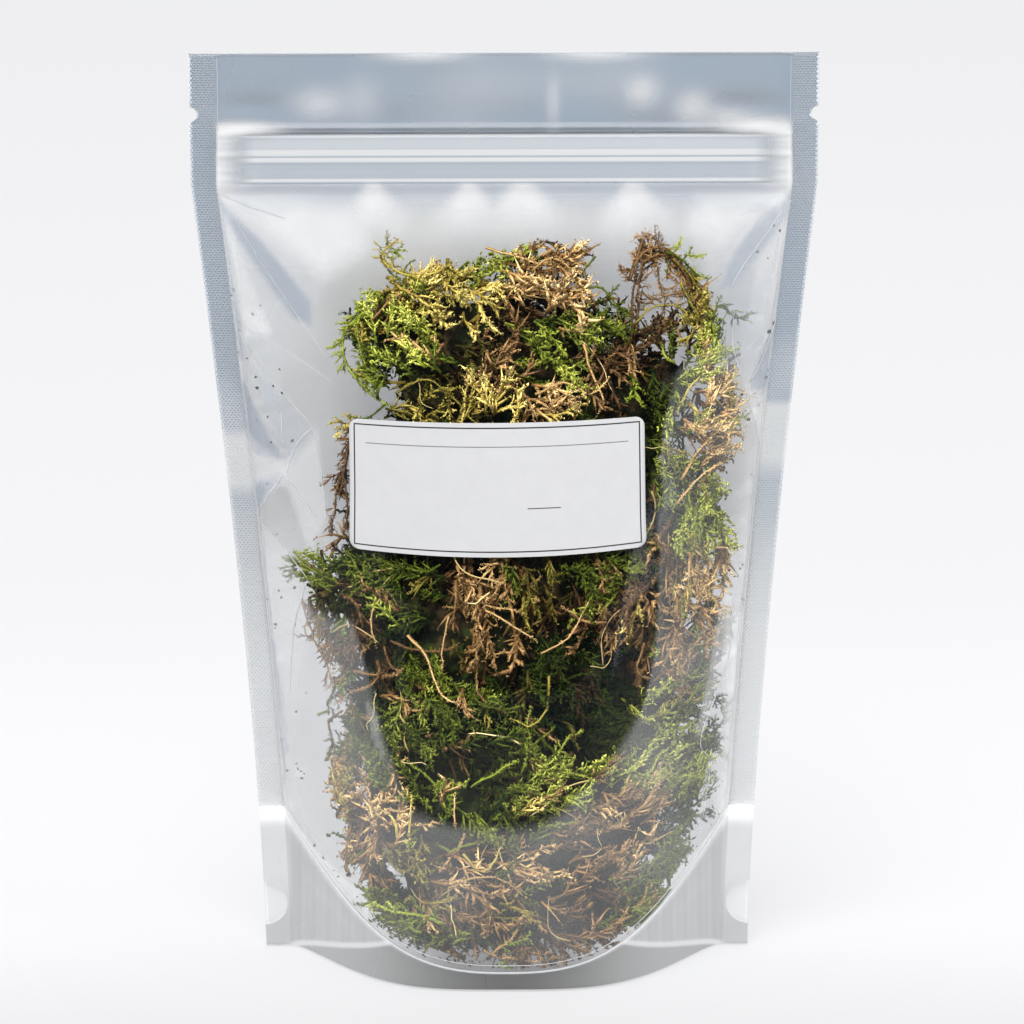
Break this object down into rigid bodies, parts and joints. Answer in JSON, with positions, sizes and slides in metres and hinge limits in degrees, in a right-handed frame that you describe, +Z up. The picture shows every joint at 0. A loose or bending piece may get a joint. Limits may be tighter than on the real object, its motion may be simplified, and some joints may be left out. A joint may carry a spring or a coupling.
{
  "type": "moss clump in a stand-up pouch",
  "caption": "Packed clump of sheet moss in a zipped stand-up pouch with a clear front, a silvery back and a blank paper label.",
  "frame": {"origin": "on the surface that the pouch stands on, at the middle of its foot", "axes": "+Z up, the clear front faces -Y, +X to the right seen from the front"},
  "size_m": [0.16, 0.0776, 0.239],
  "materials": {
    "clear_film": "clear glossy film, soft creases",
    "silver_film": "metallised plastic film, satin, soft creases",
    "zip_plastic": "clear ribbed plastic",
    "label_paper": "matt white label paper",
    "moss": "dry feathery moss, green, olive and tan"
  },
  "bodies": {
    "root": {"front_film": "clear_film", "back_film": "silver_film", "bottom_film": "silver_film", "zip_socket": "zip_plastic", "zip_tongue": "zip_plastic", "label": "label_paper", "moss_clump": "moss"}
  },
  "joints": []
}
